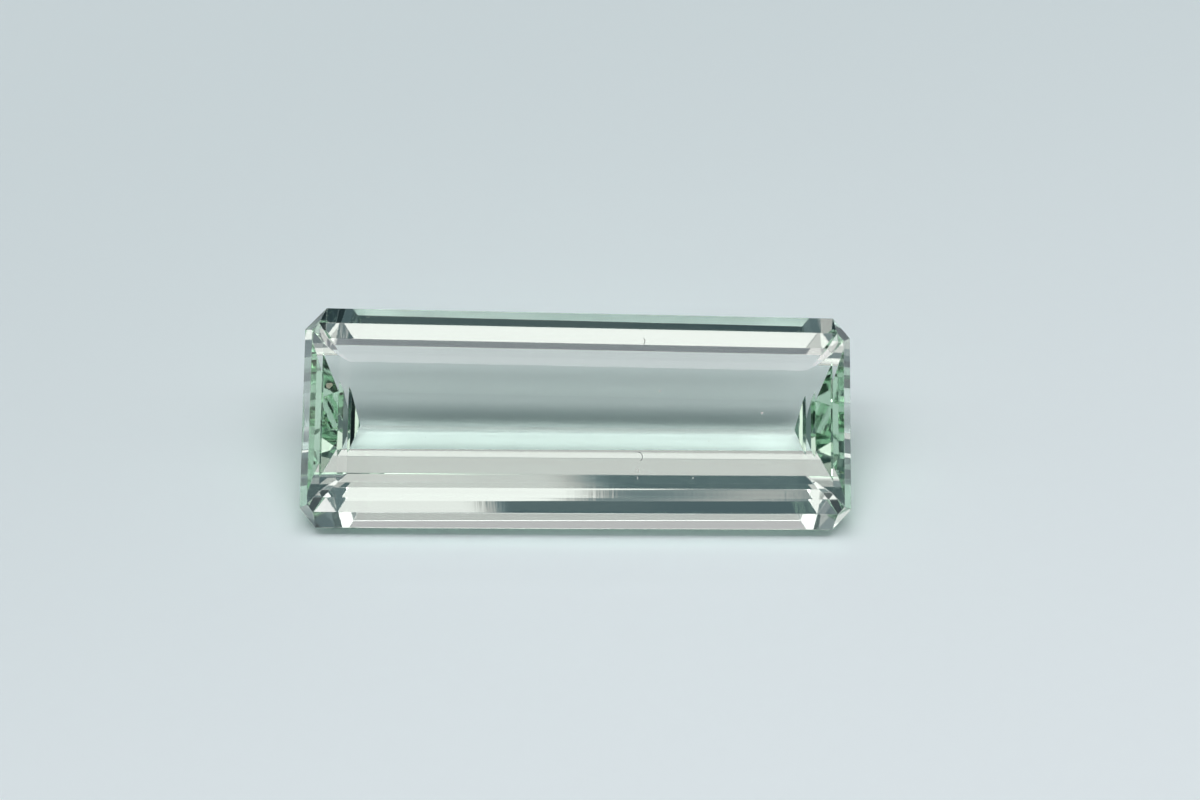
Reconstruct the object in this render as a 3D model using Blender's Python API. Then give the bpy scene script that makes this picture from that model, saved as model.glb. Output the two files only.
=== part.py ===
"""Long step-cut beryl with cut corners, lying on one of its lower side facets.

The stone is one closed solid of flat facets, cut one after another from a block. It is cut upright: the
girdle in the XY plane, the crown above it up to the table, the pavilion below it down to a keel. Every side of
the outline keeps its own direction from the table to the keel, so each tier is a ring of eight level lines,
and a facet is the plane through the two lines of its side in neighbouring tiers. The pavilion's corner facets
taper to a point in its first row. The finished stone is then laid over onto its second pavilion facet on the
near side.
"""

import math
from collections import namedtuple

import bmesh
import bpy
from mathutils import Matrix, Vector

NODE = "beryl_crystal"
MM = 0.001
COLOUR = (0.62, 0.74, 0.66)

Side = namedtuple("Side", "facing reach")
Tier = namedtuple("Tier", "height near far left right cut")

# The girdle's outline: the way each side faces, in degrees counter-clockwise from +X, and how far its line is
# from the stone's upright axis, in millimetres. It is a little out of square, as a stone cut by hand is.
SIDES = {
    "near": Side(269.75, 5.75),
    "right": Side(359.9, 14.50),
    "far": Side(88.8, 5.77),
    "left": Side(178.8, 14.50),
}
CORNERS = {
    "near_right": Side(317.0, 13.83),
    "far_right": Side(39.5, 14.00),
    "far_left": Side(135.5, 13.71),
    "near_left": Side(218.8, 14.29),
}

# Height of each tier over the girdle's upper edge, how far its lines stand in from the girdle's, and how much
# of the corner between two of them its corner line takes off, in millimetres.
CROWN = [
    Tier(1.80, 2.61, 3.13, 2.52, 2.45, 0.03),
    Tier(1.70, 2.19, 2.74, 1.99, 1.95, 0.08),
    Tier(1.40, 1.43, 1.85, 1.07, 1.02, 0.18),
    Tier(1.01, 0.69, 0.96, 0.44, 0.39, 0.26),
]
GIRDLE_THICKNESS = 0.21
PAVILION = [
    Tier(-2.96, 2.95, 2.33, 1.48, 1.48, None),
    Tier(-4.09, 4.47, 4.15, 2.43, 2.43, None),
]
# Angles to the girdle plane, in degrees: the last row's facets, which meet in the keel, and the pavilion's
# corner facets.
KEEL_SLOPE = {"near": 19.0, "right": 41.5, "far": 14.2, "left": 41.5}
CORNER_SLOPE = 61.0
RESTS_ON = ("near", 1)

BLOCK = (40.0, 20.0, 20.0)
SAME_POINT = 0.0005


def direction(side):
    """Unit vector that the side faces along."""
    angle = math.radians({**SIDES, **CORNERS}[side].facing)
    return Vector((math.cos(angle), math.sin(angle), 0.0))


def meeting_point(tier, side, end):
    """Where the tier's line on a long side and its line on an end would meet, at height 0."""
    facing = Matrix((direction(side).xy, direction(end).xy))
    reaches = Vector((line_reach(tier, side), line_reach(tier, end)))
    return (facing.inverted() @ reaches).to_3d()


def line_reach(tier, side):
    """Distance of the tier's line on this side from the upright axis."""
    if side in SIDES:
        return SIDES[side].reach - getattr(tier, side)
    if tier.cut is None:
        return CORNERS[side].reach
    return meeting_point(tier, *side.split("_")).dot(direction(side)) - tier.cut


def line_point(tier, side):
    """The point of the tier's line nearest to the upright axis."""
    return direction(side) * line_reach(tier, side) + Vector((0.0, 0.0, tier.height))


def facet_between(upper, lower, side):
    """(point, outward normal) of the plane through one side's lines in two tiers."""
    start, end = line_point(upper, side), line_point(lower, side)
    along = Vector((0.0, 0.0, 1.0)).cross(direction(side))
    return start, along.cross(start - end).normalized()


def sloped_facet(tier, side, angle):
    """(point, outward normal) of the plane that leaves the tier's line downwards at this angle to the girdle."""
    slope = math.radians(angle)
    return line_point(tier, side), direction(side) * math.sin(slope) - Vector((0.0, 0.0, math.cos(slope)))


def girdle():
    """The girdle's upper and lower edge, as tiers."""
    return [Tier(height, 0.0, 0.0, 0.0, 0.0, None) for height in (0.0, -GIRDLE_THICKNESS)]


def all_facets():
    upper = CROWN + girdle()
    lower = girdle()[1:] + PAVILION
    facets = [(Vector((0.0, 0.0, upper[0].height)), Vector((0.0, 0.0, 1.0)))]
    for above, below in zip(upper, upper[1:]):
        facets += [facet_between(above, below, side) for side in (*SIDES, *CORNERS)]
    for above, below in zip(lower, lower[1:]):
        facets += [facet_between(above, below, side) for side in SIDES]
    facets += [sloped_facet(lower[0], side, CORNER_SLOPE) for side in CORNERS]
    return facets + [sloped_facet(lower[-1], side, angle) for side, angle in KEEL_SLOPE.items()]


def cut_flat(bm, point, normal):
    """Takes off everything in front of the plane and closes the cut with one flat face."""
    everything = bm.verts[:] + bm.edges[:] + bm.faces[:]
    cut = bmesh.ops.bisect_plane(bm, geom=everything, dist=SAME_POINT, plane_co=point, plane_no=normal,
                                 clear_outer=True)
    edges = [item for item in cut["geom_cut"] if isinstance(item, bmesh.types.BMEdge)]
    bmesh.ops.contextual_create(bm, geom=[edge for edge in edges if edge.is_boundary])


def cut_stone():
    """The stone upright, as a mesh in metres."""
    bm = bmesh.new()
    bmesh.ops.create_cube(bm, size=1.0, matrix=Matrix.Diagonal((*BLOCK, 1.0)))
    for point, normal in all_facets():
        cut_flat(bm, point, normal)
    bmesh.ops.remove_doubles(bm, verts=bm.verts[:], dist=SAME_POINT)
    bmesh.ops.recalc_face_normals(bm, faces=bm.faces[:])
    bmesh.ops.scale(bm, vec=(MM, MM, MM), verts=bm.verts[:])
    mesh = bpy.data.meshes.new(NODE)
    bm.to_mesh(mesh)
    bm.free()
    return mesh


def resting_turn():
    """The turn that lays the stone over onto the facet it rests on."""
    side, row = RESTS_ON
    rows = girdle()[1:] + PAVILION
    _, normal = facet_between(rows[row], rows[row + 1], side)
    return normal.rotation_difference(Vector((0.0, 0.0, -1.0)))


def crystal_material():
    material = bpy.data.materials.new("pale_green_crystal")
    material.use_nodes = True
    shader = material.node_tree.nodes["Principled BSDF"]
    shader.inputs["Base Color"].default_value = (*COLOUR, 1.0)
    shader.inputs["Roughness"].default_value = 0.03
    shader.inputs["Metallic"].default_value = 0.0
    shader.inputs["IOR"].default_value = 1.577
    shader.inputs["Transmission Weight"].default_value = 0.9
    return material


def main():
    for obj in list(bpy.data.objects):
        bpy.data.objects.remove(obj, do_unlink=True)
    stone = bpy.data.objects.new(NODE, cut_stone())
    stone.data.materials.append(crystal_material())
    bpy.context.scene.collection.objects.link(stone)
    turn = resting_turn()
    corners = [turn @ vertex.co for vertex in stone.data.vertices]
    low = Vector([min(corner[i] for corner in corners) for i in range(3)])
    high = Vector([max(corner[i] for corner in corners) for i in range(3)])
    stone.rotation_mode = "QUATERNION"
    stone.rotation_quaternion = turn
    stone.location = (-(low.x + high.x) / 2, -(low.y + high.y) / 2, -low.z)


main()
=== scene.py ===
"""A long step-cut beryl with cut corners, lying tipped on one lower side facet on a pale studio surface.

Lengths are in millimetres until a mesh is filled in, and in metres after that.
"""

import math

import bmesh
import bpy
import numpy as np
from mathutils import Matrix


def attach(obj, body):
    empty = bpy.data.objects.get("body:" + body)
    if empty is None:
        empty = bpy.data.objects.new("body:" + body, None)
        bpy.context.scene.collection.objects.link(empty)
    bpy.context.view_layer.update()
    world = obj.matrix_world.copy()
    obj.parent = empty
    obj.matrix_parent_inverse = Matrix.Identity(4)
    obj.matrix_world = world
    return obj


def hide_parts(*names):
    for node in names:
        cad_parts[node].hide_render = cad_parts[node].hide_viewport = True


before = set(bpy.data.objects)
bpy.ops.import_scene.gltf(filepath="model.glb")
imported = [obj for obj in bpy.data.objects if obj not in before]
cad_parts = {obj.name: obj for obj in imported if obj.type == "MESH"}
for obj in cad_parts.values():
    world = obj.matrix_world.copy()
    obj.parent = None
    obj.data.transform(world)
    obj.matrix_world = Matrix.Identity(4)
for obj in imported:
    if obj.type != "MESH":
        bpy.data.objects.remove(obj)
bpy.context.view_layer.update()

MM = 0.001
NODE = "beryl_crystal"
# Outputs of a Texture Coordinate node: the object's coordinates and, in the world, the direction.
OBJECT_OUTPUT, DIRECTION_OUTPUT = 3, 0

# The stone upright: sides in turn from the near one, the way each faces, and its distance from the axis at
# the girdle. The even ones are the long sides and the ends, the odd ones the cut corners.
FACING = np.radians([269.75, 317.0, 359.9, 39.5, 88.8, 135.5, 178.8, 218.8])
GIRDLE_REACH = np.array([5.75, 13.83, 14.50, 14.00, 5.77, 13.71, 14.50, 14.29])
NEAR, RIGHT, FAR, LEFT = 0, 2, 4, 6
CORNERS = np.array([1, 3, 5, 7])
GIRDLE_THICKNESS = 0.21

# Tiers over the girdle, lowest first: height, inset of the near, right, far and left line, corner cut.
CROWN_HEIGHT = np.array([1.01, 1.40, 1.70, 1.80])
CROWN_INSET = np.array([[0.69, 0.39, 0.96, 0.44], [1.43, 1.02, 1.85, 1.07], [2.19, 1.95, 2.74, 1.99],
                        [2.61, 2.45, 3.13, 2.52]])
CROWN_CUT = np.array([0.26, 0.18, 0.08, 0.03])
PAVILION_HEIGHT = np.array([-4.09, -2.96])
PAVILION_INSET = np.array([[4.47, 2.43, 4.15, 2.43], [2.95, 1.48, 2.33, 1.48]])
KEEL_SLOPE = np.radians([19.0, 41.5, 14.2, 41.5])
CORNER_SLOPE = math.radians(61.0)
# The keel's facets are carried down to here, past the keel.
BELOW_KEEL = -4.8
EDGE_ROUNDING = 0.018
# A crown row is known by the tier under it, counted up from below the keel. The last tier is the table's.
SECOND_ROW, TOP_ROW, TABLE = 6, 7, 8
# Two sides turned less than this from each other never meet, and a shorter stretch of a side is nothing.
PARALLEL, NEVER, NOTHING_LEFT = 1e-9, 1e9, 1e-6
# Points nearer than this, in metres, are one, and faces flatter than this to each other are one facet.
SAME_POINT, SAME_FACET = 2e-7, math.radians(0.05)

# The crystal takes up light along its path, red most and green least: 1 less this colour, times the density,
# per metre.
BERYL_IOR = 1.577
BERYL_COLOUR, BERYL_DENSITY = (0.13, 0.62, 0.23, 1.0), 20.0
# Roughness of the polish, what its hazy places add, and the strength and depth of its lines, in metres.
POLISH, POLISH_HAZE = 0.004, 0.012
LINE_STRENGTH, LINE_DEPTH = 0.07, 0.00002
# Noise repeats per metre: the polish left fine lines that run across the stone, close together along it. They
# come in patches, and are plainest on the near rows, which end between these places along Y, in metres.
POLISH_LINES, LINE_PATCHES = (5000.0, 260.0, 260.0), (160.0, 90.0, 90.0)
NEAR_ROWS_END, LINES_ELSEWHERE = (-0.0038, -0.0022), 0.4

# The camera looks down along the table's normal, tipped by this much towards the near side.
VIEW_TIP = math.radians(8.7)
VIEW_DISTANCE = 222.0
SENSOR = 36.0
PHOTO_PIXEL = 29.0 / 548.0
GIRDLE_CENTRE_PIXEL = (576.5, 420.7)

# Small marks, each at a pixel of the photo: its half length, half width and half height in millimetres, and
# the turn of its length from the stone's, in degrees.
TABLE_SPECKS = [((660.0, 391.0), (0.06, 0.05, 0.02), 0.0), ((762.0, 413.0), (0.08, 0.06, 0.02), 20.0),
                ((640.0, 376.0), (0.03, 0.02, 0.01), 0.0), ((709.0, 441.0), (0.03, 0.03, 0.01), 0.0),
                ((426.0, 437.0), (0.04, 0.02, 0.01), 40.0), ((498.0, 404.0), (0.02, 0.02, 0.01), 0.0)]
ROW_SPECKS = [((638.0, 471.0), (0.03, 0.10, 0.01), 0.0), ((637.5, 478.0), (0.03, 0.08, 0.01), 8.0),
              ((693.0, 478.0), (0.06, 0.03, 0.01), 50.0)]
CHIP = ((328.7, 385.3), (0.15, 0.20, 0.10), 15.0)
CHIP_DEPTH = 0.12
HAIR_AT = (637.5, 457.0)
HAIR_BEND_RADIUS, HAIR_ARC, HAIR_TURN, HAIR_THICKNESS = 0.26, math.radians(150.0), math.radians(20.0), 0.016
HAIR_LIFT = 0.8
PHOTO_SIZE = (1200, 800)

# The board's own colour is a pale cool grey. Painted shade makes it a little darker behind the stone than in
# front of it, over this distance in metres, and the shade grows towards the back and, less, to the left.
FLOOR_LIT_NEAR = (0.85, 0.985, 0.965, 1.0)
FLOOR_SHADED_FAR = (0.69, 0.83, 0.81, 1.0)
FLOOR_FALLOFF, FALLOFF_BACK, FALLOFF_LEFT = 0.035, 0.8, 0.25
FLOOR_GRAIN = (0.70, 0.72, 0.72, 1.0)
FLOOR_HALF, FLOOR_GAP = 1.2, 0.00002

# The studio's light: strips at (degrees from straight up towards the back, radiance).
SKY_STRIPS = [(-80, 0.20), (-70, 0.08), (-66, 0.10), (-62, 0.74), (-50, 0.70), (-47.1, 0.70), (-46.7, 0.12),
              (-45.5, 0.12), (-45.1, 0.90), (-43.5, 1.12), (-40, 1.12), (-37, 0.20), (-30, 0.30), (-28, 0.85),
              (-24, 1.15), (-17, 1.15), (-15, 1.30), (-13.5, 5.40), (-9, 6.00), (-6, 6.00), (-4.5, 0.56),
              (-1.5, 0.56), (0, 3.40), (8, 3.30), (13, 2.10), (18, 0.90), (22, 0.05), (44, 0.05),
              (45.5, 0.55), (49, 0.55), (51, 0.05)]
SKY_BRIGHTEST = 6.0
SKY_BRIGHT = (1.05, 0.97, 1.02, 1.0)
SKY_DARK = (0.58, 0.92, 1.12, 1.0)
TINTED_BELOW = 0.55
# Screens to the right, each in front of those before it: lowest and highest lean, the edge across at the
# lower one, its slant per degree, its softness and the light that it gives back.
SCREENS = [(-30.0, -24.5, -0.0812, 0.0073, 0.006, 0.14), (-24.5, -19.0, -0.0411, 0.0073, 0.008, 0.26),
           (-24.5, -19.0, -0.0110, 0.0073, 0.018, 0.52), (-24.5, -19.0, 0.0120, 0.0073, 0.016, 0.20),
           (-61.0, -50.5, -0.040, 0.0, 0.010, 0.15)]
SCREEN_RIM = 0.3
# The strips end to the left and right: only this share of them is left past the fade.
ENDS_FADE = (0.30, 0.70)
END_SHARE = 0.22


class Value:
    """A node socket that takes part in arithmetic: each operator adds one Math node."""

    def __init__(self, shader, socket):
        self.shader, self.socket = shader, socket

    def _math(self, operation, *values):
        return self.shader.node("ShaderNodeMath", {"operation": operation}, dict(enumerate(values)))

    def __add__(self, other):
        return self._math("ADD", self, other)

    def __sub__(self, other):
        return self._math("SUBTRACT", self, other)

    def __rsub__(self, other):
        return self._math("SUBTRACT", other, self)

    def __mul__(self, other):
        return self._math("MULTIPLY", self, other)

    def __truediv__(self, other):
        return self._math("DIVIDE", self, other)

    def __rtruediv__(self, other):
        return self._math("DIVIDE", other, self)

    def __abs__(self):
        return self._math("ABSOLUTE", self)

    __radd__ = __add__
    __rmul__ = __mul__

    def smooth(self, low, high):
        """0 below low and 1 above high, with a soft step between them."""
        return self.shader.node("ShaderNodeMapRange", {"interpolation_type": "SMOOTHSTEP"},
                                {"Value": self, "From Min": low, "From Max": high})


class Shader:
    """A node tree of one material or of the world."""

    def __init__(self, owner):
        owner.use_nodes = True
        self.tree = owner.node_tree
        self.tree.nodes.clear()

    def node(self, kind, settings=None, inputs=None, output=0):
        """Adds a node, sets it up, fills its sockets with values or links, and returns one of its outputs."""
        made = self.tree.nodes.new(kind)
        for name, value in (settings or {}).items():
            if name == "stops":
                self._fill_ramp(made.color_ramp, value)
            else:
                setattr(made, name, value)
        for name, value in (inputs or {}).items():
            self._fill(made.inputs[name], value)
        return Value(self, made.outputs[output]) if len(made.outputs) else None

    def _fill(self, socket, value):
        if isinstance(value, Value):
            self.tree.links.new(value.socket, socket)
        else:
            socket.default_value = value

    @staticmethod
    def _fill_ramp(ramp, stops):
        while len(ramp.elements) < len(stops):
            ramp.elements.new(1.0)
        for element, (place, colour) in zip(ramp.elements, stops):
            element.position, element.color = place, (*colour, 1.0)

    def mix(self, factor, first, second):
        """A colour between two others."""
        return self.node("ShaderNodeMix", {"data_type": "RGBA"}, {0: factor, 6: first, 7: second}, output=2)

    def place(self, scale=(1.0, 1.0, 1.0)):
        """Object coordinates, stretched."""
        coordinates = self.node("ShaderNodeTexCoord", output=OBJECT_OUTPUT)
        return self.node("ShaderNodeMapping", None, {"Vector": coordinates, "Scale": scale})

    def split(self, vector):
        """The three parts of a vector, each as a value."""
        first = self.node("ShaderNodeSeparateXYZ", None, {"Vector": vector})
        return [Value(self, socket) for socket in first.socket.node.outputs]

    def noise(self, vector, scale, detail=2.0, roughness=0.5):
        return self.node("ShaderNodeTexNoise", None,
                         {"Vector": vector, "Scale": scale, "Detail": detail, "Roughness": roughness})


def concurrence(reach, first, second, third):
    """Zero where three sides' lines meet in one point.

    It is the sum of each line's distance times the sine of the turn between the other two.
    """
    return (reach[..., first] * np.sin(FACING[second] - FACING[third])
            + reach[..., second] * np.sin(FACING[third] - FACING[first])
            + reach[..., third] * np.sin(FACING[first] - FACING[second]))


def tier_reaches():
    """(heights, reaches): how far each side's line is from the axis at every tier, lowest first.

    A long side's or an end's reach is the girdle's less the inset. Over the girdle, a corner's reach is that
    of the point where its neighbours' lines meet, less the cut; under it, it falls off at one slope.
    """
    heights = np.concatenate([[BELOW_KEEL], PAVILION_HEIGHT, [-GIRDLE_THICKNESS, 0.0], CROWN_HEIGHT])
    keel_inset = PAVILION_INSET[:1] + (PAVILION_HEIGHT[0] - BELOW_KEEL) / np.tan(KEEL_SLOPE)
    inset = np.concatenate([keel_inset, PAVILION_INSET, np.zeros((2, 4)), CROWN_INSET])
    reach = np.repeat(GIRDLE_REACH[None], len(heights), 0)
    reach[:, ::2] -= inset
    low = heights < -GIRDLE_THICKNESS
    reach[:, 1::2] -= (np.where(low, -GIRDLE_THICKNESS - heights, 0.0) / math.tan(CORNER_SLOPE))[:, None]
    before, after = CORNERS - 1, (CORNERS + 1) % 8
    meeting = (reach[:, before] * np.sin(FACING[after] - FACING[CORNERS])
               + reach[:, after] * np.sin(FACING[CORNERS] - FACING[before]))
    meeting /= np.sin(FACING[after] - FACING[before])
    high = heights > 0.0
    cut = np.concatenate([np.zeros(len(heights) - len(CROWN_CUT)), CROWN_CUT])
    reach[high, 1::2] = (meeting - cut[:, None])[high]
    return heights, reach


def facet_levels(heights, reach):
    """Every height with a corner of a facet: the tiers, the ends of the tapering corners and of the keel."""
    def zero_between(low, high, *sides):
        below, above = concurrence(reach[low], *sides), concurrence(reach[high], *sides)
        return heights[low] + (heights[high] - heights[low]) * below / (below - above)

    corner_ends = [zero_between(2, 3, side - 1, side, (side + 1) % 8) for side in CORNERS]
    keel_ends = [zero_between(0, 1, NEAR, end, FAR) for end in (RIGHT, LEFT)]
    levels = np.concatenate([heights[heights > BELOW_KEEL], corner_ends, keel_ends])
    return np.unique(np.round(levels, 9))


def outline_points(levels, heights, reach):
    """(levels, 8, 3) points round the stone at each height.

    The two parameters are the height and the side. At one height, each side's line is clipped by all the
    others, and the side's end is kept; a side with nothing left gives the end of the one before it.
    """
    at = np.stack([np.interp(levels, heights, reach[:, side]) for side in range(8)], 1)
    turn = FACING[None] - FACING[:, None]
    along = np.sin(turn)
    limit = at[:, None, :] - at[:, :, None] * np.cos(turn)
    limit = limit / np.where(np.abs(along) < PARALLEL, NEVER, along)
    end = np.where(along > PARALLEL, limit, np.inf).min(2)
    start = np.where(along < -PARALLEL, limit, -np.inf).max(2)
    alive = end - start > NOTHING_LEFT
    alive[:, NEAR] = True
    keeper = np.maximum.accumulate(np.where(alive, np.arange(8), 0), 1)
    outward = np.stack([np.cos(FACING), np.sin(FACING)], 1)
    forward = np.stack([-np.sin(FACING), np.cos(FACING)], 1)
    ends = outward[None] * at[..., None] + forward[None] * end[..., None]
    ends = np.take_along_axis(ends, keeper[..., None], 1)
    return np.concatenate([ends, np.broadcast_to(levels[:, None, None], ends.shape[:2] + (1,))], 2)


def laying_turn():
    """The shortest turn, as a 3 by 3 matrix, that points the facet it lies on straight down.

    That facet is the near side's between the two pavilion tiers. With c the cross product matrix of the
    facet's normal and down, the turn is 1 + c + c c / (1 + the normal's part along down).
    """
    run = PAVILION_INSET[0, 0] - PAVILION_INSET[1, 0]
    slope = math.atan2(PAVILION_HEIGHT[1] - PAVILION_HEIGHT[0], run)
    outward = np.array([math.cos(FACING[NEAR]), math.sin(FACING[NEAR]), 0.0])
    down = np.array([0.0, 0.0, -1.0])
    normal = outward * math.sin(slope) + down * math.cos(slope)
    axis = np.cross(normal, down)
    cross = np.array([[0, -axis[2], axis[1]], [axis[2], 0, -axis[0]], [-axis[1], axis[0], 0]])
    return np.eye(3) + cross + cross @ cross / (1 + normal @ down)


def quads_between(rows, columns):
    """Faces of a grid that closes round its columns, its first row lowest."""
    row, column = np.meshgrid(np.arange(rows - 1), np.arange(columns), indexing="ij")
    following = (column + 1) % columns
    corners = [row * columns + column, row * columns + following, (row + 1) * columns + following,
               (row + 1) * columns + column]
    return np.stack(corners, -1).reshape(-1, 4)


def mesh_object(name, points, faces, smooth=False):
    """An object at the origin whose mesh has these points, in metres."""
    mesh = bpy.data.meshes.new(name)
    mesh.from_pydata(points.tolist(), [], faces)
    mesh.polygons.foreach_set("use_smooth", np.full(len(mesh.polygons), smooth))
    mesh.update()
    obj = bpy.data.objects.new(name, mesh)
    bpy.context.scene.collection.objects.link(obj)
    return obj


def merge_facets(obj):
    """Joins the strips of one facet into one flat face, and points all faces outwards."""
    bm = bmesh.new()
    bm.from_mesh(obj.data)
    bmesh.ops.remove_doubles(bm, verts=bm.verts[:], dist=SAME_POINT)
    bmesh.ops.dissolve_limit(bm, angle_limit=SAME_FACET, verts=bm.verts[:], edges=bm.edges[:])
    bmesh.ops.recalc_face_normals(bm, faces=bm.faces[:])
    bm.to_mesh(obj.data)
    bm.free()


def stone_places():
    """(points, turn, shift, rows): the stone's grid laid down in the frame, in metres, and how it lies."""
    heights, reach = tier_reaches()
    levels = facet_levels(heights, reach)
    upright = outline_points(levels, heights, reach)
    turn = laying_turn()
    laid = upright.reshape(-1, 3) @ turn.T
    low, high = laid.min(0), laid.max(0)
    shift = np.array([-(low[0] + high[0]) / 2, -(low[1] + high[1]) / 2, -low[2]])
    return (laid + shift) * MM, turn, shift, len(levels)


def make_stone():
    """(object, turn, shift): the grid closed by the table, its strips made facets, and its edges rounded."""
    points, turn, shift, rows = stone_places()
    faces = quads_between(rows, 8).tolist()
    faces.append(list(range((rows - 1) * 8, rows * 8)))
    stone = mesh_object("polished_stone", points, faces)
    merge_facets(stone)
    rounding = stone.modifiers.new("polished_edges", "BEVEL")
    rounding.width = EDGE_ROUNDING * MM
    rounding.segments = 2
    rounding.limit_method = "NONE"
    rounding.harden_normals = True
    stone.data.polygons.foreach_set("use_smooth", np.full(len(stone.data.polygons), True))
    return stone, turn, shift


def facet_frame(turn, shift, tier, side):
    """(point, along, across, outward normal) of the facet above this tier on one side, laid down, in mm."""
    heights, reach = tier_reaches()
    if tier == TABLE:
        point, normal, along = np.array([0, 0, heights[-1]]), np.array([0, 0, 1.0]), np.array([1.0, 0, 0])
    else:
        outward = np.array([math.cos(FACING[side]), math.sin(FACING[side]), 0.0])
        point = outward * reach[tier, side] + [0, 0, heights[tier]]
        rise = outward * (reach[tier + 1, side] - reach[tier, side])
        rise = rise + [0, 0, heights[tier + 1] - heights[tier]]
        along = np.array([-outward[1], outward[0], 0.0])
        normal = np.cross(along, rise / np.linalg.norm(rise))
    return turn @ point + shift, turn @ along, turn @ np.cross(normal, along), turn @ normal


def under_pixel(pixel, view, point, normal):
    """The point of a plane that the camera sees at a pixel of the photo: its ray cut by the plane."""
    centre, right, up, back = view
    ahead = (right * (pixel[0] - PHOTO_SIZE[0] / 2) + up * (PHOTO_SIZE[1] / 2 - pixel[1])) * PHOTO_PIXEL
    ahead = ahead - back * VIEW_DISTANCE
    return centre + ahead * (((point - centre) @ normal) / (ahead @ normal))


def lump(centre, sizes, spin, facet, rows=9, columns=16):
    """A closed lump on a facet: a ball stretched by its three half sizes, with a shallow wave round it.

    The wave is a tenth of the radius three times round, and a little less five times round.
    """
    _, along, across, normal = facet
    polar, around = np.meshgrid(np.linspace(0, np.pi, rows)[1:-1], np.linspace(0, 2 * np.pi, columns, False),
                                indexing="ij")
    wave = (1 + 0.12 * np.sin(3 * around + spin) * np.sin(polar)
            + 0.08 * np.cos(5 * around) * np.sin(polar) ** 2)
    local = np.stack([np.sin(polar) * np.cos(around) * wave, np.sin(polar) * np.sin(around) * wave,
                      np.cos(polar)], -1).reshape(-1, 3)
    local = np.concatenate([local, [[0, 0, 1.0], [0, 0, -1.0]]]) * sizes
    turned = math.radians(spin)
    axes = np.stack([along * math.cos(turned) + across * math.sin(turned),
                     across * math.cos(turned) - along * math.sin(turned), normal])
    ring = np.arange(columns)
    following = (ring + 1) % columns
    last = (rows - 3) * columns
    caps = [(ring, following, np.full(columns, (rows - 2) * columns)),
            (last + following, last + ring, np.full(columns, (rows - 2) * columns + 1))]
    faces = quads_between(rows - 2, columns)[:, ::-1].tolist()
    for cap in caps:
        faces += np.stack(cap, 1)[:, ::-1].tolist()
    return local @ axes + centre, faces


def make_marks(name, marks, view, facet, depth=0.0):
    """One piece of all the small marks of a facet, each half sunk into it or deeper inside the stone."""
    point, _, _, normal = facet
    points, faces, count = [], [], 0
    for pixel, sizes, spin in marks:
        made, quads = lump(under_pixel(pixel, view, point, normal) - normal * depth, sizes, spin, facet)
        points.append(made)
        faces += [[corner + count for corner in face] for face in quads]
        count += len(made)
    return ride_on_stone(mesh_object(name, np.concatenate(points) * MM, faces, smooth=True))


def make_hair(view, facet, steps=24, sides=8):
    """A short bent fibre on the table: a circle carried along an arc that lies in the facet.

    Its radius falls off at the tips as the square root of 1 less the sixth power of the way from the middle.
    """
    point, along, across, normal = facet
    centre = under_pixel(HAIR_AT, view, point, normal) + normal * HAIR_THICKNESS * HAIR_LIFT
    swing = np.linspace(-0.5, 0.5, steps)[:, None] * HAIR_ARC + HAIR_TURN
    outward = along * np.cos(swing) + across * np.sin(swing)
    route = centre + outward * HAIR_BEND_RADIUS
    thickness = HAIR_THICKNESS * np.sqrt(np.clip(1 - np.linspace(-1, 1, steps) ** 6, 0.02, 1))[:, None, None]
    around = np.linspace(0, 2 * np.pi, sides, False)[None, :, None]
    tube = route[:, None] + thickness * (outward[:, None] * np.cos(around) + normal * np.sin(around))
    faces = quads_between(steps, sides).tolist()
    faces += [list(range(sides))[::-1], list(range((steps - 1) * sides, steps * sides))]
    hair = mesh_object("table_hair", tube.reshape(-1, 3) * MM, faces, smooth=True)
    return ride_on_stone(hair)


def ride_on_stone(piece):
    """Points a small piece's faces outwards and lets it move with the stone."""
    bm = bmesh.new()
    bm.from_mesh(piece.data)
    bmesh.ops.recalc_face_normals(bm, faces=bm.faces[:])
    bm.to_mesh(piece.data)
    bm.free()
    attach(piece, "root")
    return piece


def dull_material(name, light, dark, scale, roughness):
    """A dull mineral or dust colour, mottled between two tones."""
    material = bpy.data.materials.new(name)
    shader = Shader(material)
    mottle = shader.noise(shader.place(scale=(scale, scale, scale)), 1.0, 3.0, 0.6)
    bump = shader.node("ShaderNodeBump", None, {"Strength": 0.4, "Distance": 0.00001, "Height": mottle})
    surface = shader.node("ShaderNodeBsdfPrincipled", None, {
        "Base Color": shader.mix(mottle.smooth(0.35, 0.65), dark, light),
        "Roughness": roughness + 0.1 * mottle, "Normal": bump})
    shader.node("ShaderNodeOutputMaterial", None, {"Surface": surface})
    return material


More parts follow.
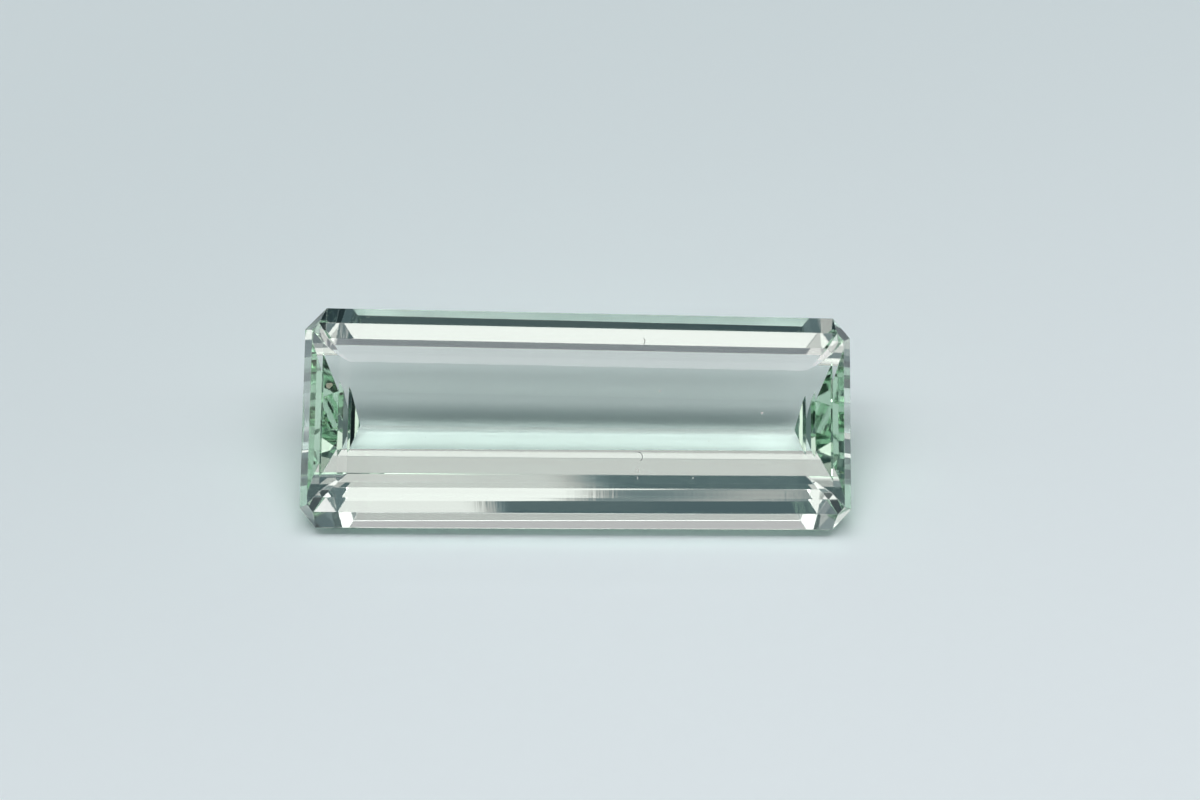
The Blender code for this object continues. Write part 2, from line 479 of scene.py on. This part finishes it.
def crystal_material():
    """Clear pale green crystal. It takes up red and blue along the path, and its polish has faint lines."""
    material = bpy.data.materials.new("pale_green_crystal")
    shader = Shader(material)
    lines = shader.noise(shader.place(scale=POLISH_LINES), 1.0, 2.0, 0.7)
    patches = shader.noise(shader.place(scale=LINE_PATCHES), 1.0, 1.0).smooth(0.45, 0.65)
    _, deep, _ = shader.split(shader.place())
    near_rows = 1.0 - (1.0 - LINES_ELSEWHERE) * deep.smooth(*NEAR_ROWS_END)
    haze = shader.noise(shader.place(scale=(260.0, 260.0, 260.0)), 1.0, 3.0)
    roughness = POLISH + POLISH_HAZE * haze.smooth(0.5, 0.8)
    bump = shader.node("ShaderNodeBump", None, {
        "Strength": LINE_STRENGTH, "Distance": LINE_DEPTH, "Height": lines * patches * near_rows})
    surface = shader.node("ShaderNodeBsdfPrincipled", {"distribution": "MULTI_GGX"}, {
        "Base Color": (1.0, 1.0, 1.0, 1.0), "Roughness": roughness, "IOR": BERYL_IOR,
        "Transmission Weight": 1.0, "Normal": bump})
    inside = shader.node("ShaderNodeVolumeAbsorption", None,
                         {"Color": BERYL_COLOUR, "Density": BERYL_DENSITY})
    shader.node("ShaderNodeOutputMaterial", None, {"Surface": surface, "Volume": inside})
    return material


def floor_material():
    material = bpy.data.materials.new("pale_board")
    shader = Shader(material)
    grain = shader.noise(shader.place(scale=(900.0, 900.0, 900.0)), 1.0, 3.0)
    across, deep, _ = shader.split(shader.place())
    # Painted shade: the board's colour darkens towards the back and, less, to the left, across the stone's
    # place.
    painted_shade = (deep * FALLOFF_BACK - across * FALLOFF_LEFT).smooth(-FLOOR_FALLOFF, FLOOR_FALLOFF)
    colour = shader.mix(painted_shade, FLOOR_LIT_NEAR, FLOOR_SHADED_FAR)
    colour = shader.mix(grain * 0.06, colour, FLOOR_GRAIN)
    surface = shader.node("ShaderNodeBsdfPrincipled", None,
                          {"Base Color": colour, "Roughness": 0.75, "Specular IOR Level": 0.2})
    shader.node("ShaderNodeOutputMaterial", None, {"Surface": surface})
    return material


def make_floor():
    corners = np.array([(-1, -1, 0), (1, -1, 0), (1, 1, 0), (-1, 1, 0)]) * FLOOR_HALF
    floor = mesh_object("pale_floor", corners - (0, 0, FLOOR_GAP), [(0, 1, 2, 3)])
    floor.data.materials.append(floor_material())


def studio_sky(shader):
    """Light by direction: strips along the stone's length, each at its own lean from straight up, in degrees.

    A lean over 0 is behind the stone, and the ramp runs from -90 to 90 degrees. The screens stand to the
    right of slanted edges in front of it. Dim light is a little bluer than bright light.
    """
    across, deep, high = shader.split(shader.node("ShaderNodeTexCoord", output=DIRECTION_OUTPUT))
    lean = shader.node("ShaderNodeMath", {"operation": "ARCTAN2"}, {0: deep, 1: high}) * (180.0 / math.pi)
    places, levels = zip(*SKY_STRIPS)
    stops = [((place + 90.0) / 180.0, (level / SKY_BRIGHTEST,) * 3) for place, level in zip(places, levels)]
    strips = shader.node("ShaderNodeValToRGB", {"stops": stops}, {"Fac": (lean + 90.0) / 180.0})
    strips = strips * (1.0 - (1.0 - END_SHARE) * abs(across).smooth(*ENDS_FADE))
    strength = strips * SKY_BRIGHTEST
    for lowest, highest, edge, slant, soft, level in SCREENS:
        screen = (across - edge - slant * (lean - lowest)).smooth(-soft, soft)
        screen = screen * lean.smooth(lowest - SCREEN_RIM, lowest + SCREEN_RIM)
        screen = screen * (1.0 - lean.smooth(highest - SCREEN_RIM, highest + SCREEN_RIM))
        strength = strength * (1.0 - screen) + screen * level
    return shader.mix(1.0 - strength.smooth(0.0, TINTED_BELOW), SKY_BRIGHT, SKY_DARK), strength


def make_light():
    world = bpy.data.worlds.new("studio")
    bpy.context.scene.world = world
    shader = Shader(world)
    colour, strength = studio_sky(shader)
    sky = shader.node("ShaderNodeBackground", None, {"Color": colour, "Strength": strength})
    shader.node("ShaderNodeOutputWorld", None, {"Surface": sky})


def keep_reflections_sharp():
    """Light bounces many times between the facets, and each reflection has to stay sharp."""
    settings = bpy.context.scene.cycles
    settings.blur_glossy = 0.0
    settings.max_bounces, settings.glossy_bounces, settings.transmission_bounces = 24, 16, 20


def photo_view(turn, shift):
    """(place, right, up, back) of the camera in millimetres, tipped a little past the table's normal."""
    right = turn @ np.array([1.0, 0.0, 0.0])
    up = turn @ np.array([0.0, math.cos(VIEW_TIP), math.sin(VIEW_TIP)])
    back = turn @ np.array([0.0, -math.sin(VIEW_TIP), math.cos(VIEW_TIP)])
    across = (PHOTO_SIZE[0] / 2 - GIRDLE_CENTRE_PIXEL[0]) * PHOTO_PIXEL
    above = (GIRDLE_CENTRE_PIXEL[1] - PHOTO_SIZE[1] / 2) * PHOTO_PIXEL
    return shift + right * across + up * above + back * VIEW_DISTANCE, right, up, back


def make_camera(view):
    centre, right, up, back = view
    camera = bpy.data.cameras.new("photo_view")
    camera.sensor_width = SENSOR
    camera.lens = SENSOR * VIEW_DISTANCE / (PHOTO_SIZE[0] * PHOTO_PIXEL)
    camera.clip_start, camera.clip_end = 0.01, 10.0
    obj = bpy.data.objects.new("photo_view", camera)
    matrix = np.eye(4)
    matrix[:3, 0], matrix[:3, 1], matrix[:3, 2], matrix[:3, 3] = right, up, back, centre * MM
    obj.matrix_world = matrix.T.tolist()
    bpy.context.scene.collection.objects.link(obj)
    bpy.context.scene.camera = obj


def make_small_marks(turn, shift, view):
    table = facet_frame(turn, shift, TABLE, NEAR)
    near_row = facet_frame(turn, shift, TOP_ROW, NEAR)
    left_row = facet_frame(turn, shift, SECOND_ROW, LEFT)
    dust = dull_material("pale_dust", (0.85, 0.85, 0.80, 1.0), (0.55, 0.56, 0.52, 1.0), 20000.0, 0.7)
    cream = dull_material("cream_mineral", (0.80, 0.74, 0.60, 1.0), (0.50, 0.46, 0.36, 1.0), 9000.0, 0.5)
    fibre = dull_material("dark_fibre", (0.10, 0.12, 0.13, 1.0), (0.03, 0.04, 0.04, 1.0), 9000.0, 0.6)
    make_marks("table_specks", TABLE_SPECKS, view, table).data.materials.append(dust)
    make_marks("near_row_specks", ROW_SPECKS, view, near_row).data.materials.append(dust)
    make_marks("cream_inclusion", [CHIP], view, left_row, CHIP_DEPTH).data.materials.append(cream)
    make_hair(view, table).data.materials.append(fibre)


stone, turn, shift = make_stone()
stone.data.materials.append(crystal_material())
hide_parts(NODE)
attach(stone, "root")
view = photo_view(turn, shift)
make_small_marks(turn, shift, view)
make_floor()
make_light()
keep_reflections_sharp()
make_camera(view)
bpy.context.scene.view_settings.view_transform = "Standard"
